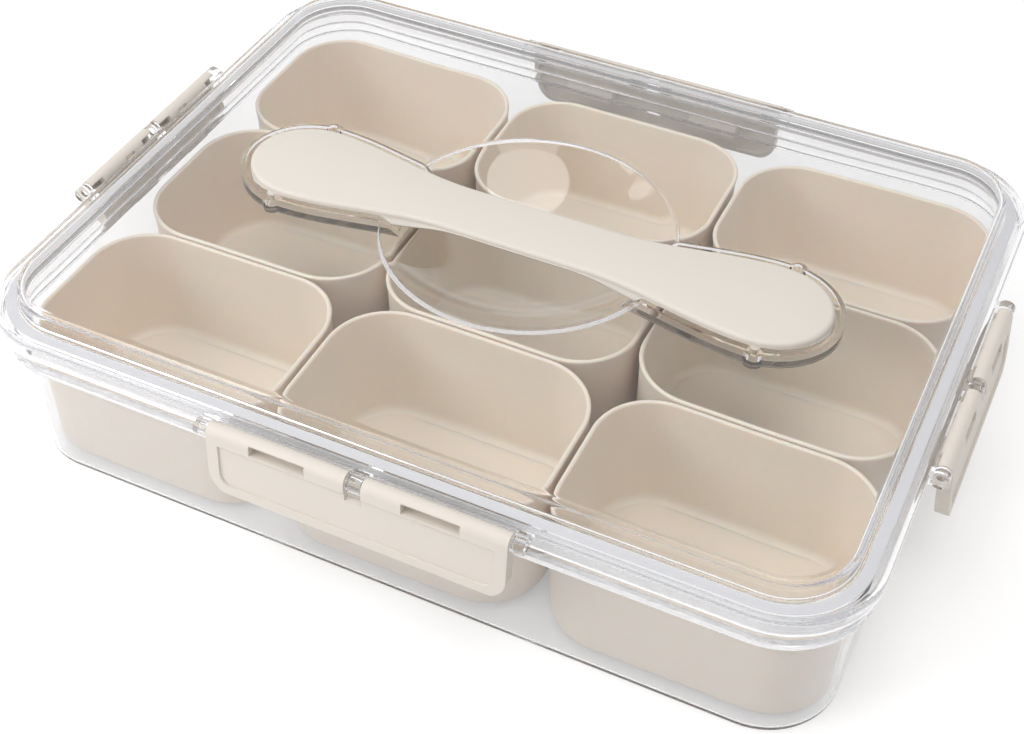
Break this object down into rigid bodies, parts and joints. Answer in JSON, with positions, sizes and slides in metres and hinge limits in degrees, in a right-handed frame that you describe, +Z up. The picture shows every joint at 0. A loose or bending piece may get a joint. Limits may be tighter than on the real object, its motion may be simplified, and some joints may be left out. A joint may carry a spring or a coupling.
{
  "type": "lidded serving box",
  "caption": "Clear lidded serving box with lift-out rounded cups, hinged snap latches all round, and a grip bar across a finger bowl in the lid",
  "frame": {"origin": "Centre of the flat underside of the closed box", "axes": "+X along the box and the grip bar, -Y the front, +Z up"},
  "size_m": [0.333, 0.2564, 0.0748],
  "materials": {
    "clear": "clear glossy",
    "beige": "satin",
    "beige_cup": "satin",
    "seal": "soft translucent"
  },
  "bodies": {
    "base": {"base_box": "clear"},
    "lid": {"lid": "clear", "seal_ring": "seal", "handle_bar": "beige"},
    "latch_front": {"latch_front": "beige"},
    "latch_back": {"latch_back": "beige"},
    "latch_right": {"latch_right": "beige"},
    "latch_left": {"latch_left": "beige"},
    "cup_front_left": {"cup_front_left": "beige_cup"},
    "cup_front_middle": {"cup_front_middle": "beige_cup"},
    "cup_front_right": {"cup_front_right": "beige_cup"},
    "cup_middle_left": {"cup_middle_left": "beige_cup"},
    "cup_centre": {"cup_centre": "beige_cup"},
    "cup_middle_right": {"cup_middle_right": "beige_cup"},
    "cup_back_left": {"cup_back_left": "beige_cup"},
    "cup_back_middle": {"cup_back_middle": "beige_cup"},
    "cup_back_right": {"cup_back_right": "beige_cup"}
  },
  "joints": [
    {"name": "lid_lift", "type": "slide", "parent": "base", "child": "lid", "axis": [0, 0, 1], "range_m": [0, 0.12]},
    {"name": "latch_front_hinge", "type": "hinge", "parent": "lid", "child": "latch_front", "pos_m": [0, -0.12285, 0.0646], "axis": [-1, 0, 0], "range_deg": [0, 150]},
    {"name": "latch_back_hinge", "type": "hinge", "parent": "lid", "child": "latch_back", "pos_m": [0, 0.12285, 0.0611], "axis": [1, 0, 0], "range_deg": [0, 150]},
    {"name": "latch_right_hinge", "type": "hinge", "parent": "lid", "child": "latch_right", "pos_m": [0.1612, 0, 0.0646], "axis": [0, -1, 0], "range_deg": [0, 150]},
    {"name": "latch_left_hinge", "type": "hinge", "parent": "lid", "child": "latch_left", "pos_m": [-0.1612, 0, 0.0646], "axis": [0, 1, 0], "range_deg": [0, 150]},
    {"name": "cup_front_left_lift", "type": "slide", "parent": "base", "child": "cup_front_left", "axis": [0, 0, 1], "range_m": [0, 0.006]},
    {"name": "cup_front_middle_lift", "type": "slide", "parent": "base", "child": "cup_front_middle", "axis": [0, 0, 1], "range_m": [0, 0.006]},
    {"name": "cup_front_right_lift", "type": "slide", "parent": "base", "child": "cup_front_right", "axis": [0, 0, 1], "range_m": [0, 0.006]},
    {"name": "cup_middle_left_lift", "type": "slide", "parent": "base", "child": "cup_middle_left", "axis": [0, 0, 1], "range_m": [0, 0.006]},
    {"name": "cup_centre_lift", "type": "slide", "parent": "base", "child": "cup_centre", "axis": [0, 0, 1], "range_m": [0, 0.003]},
    {"name": "cup_middle_right_lift", "type": "slide", "parent": "base", "child": "cup_middle_right", "axis": [0, 0, 1], "range_m": [0, 0.006]},
    {"name": "cup_back_left_lift", "type": "slide", "parent": "base", "child": "cup_back_left", "axis": [0, 0, 1], "range_m": [0, 0.006]},
    {"name": "cup_back_middle_lift", "type": "slide", "parent": "base", "child": "cup_back_middle", "axis": [0, 0, 1], "range_m": [0, 0.006]},
    {"name": "cup_back_right_lift", "type": "slide", "parent": "base", "child": "cup_back_right", "axis": [0, 0, 1], "range_m": [0, 0.006]}
  ]
}
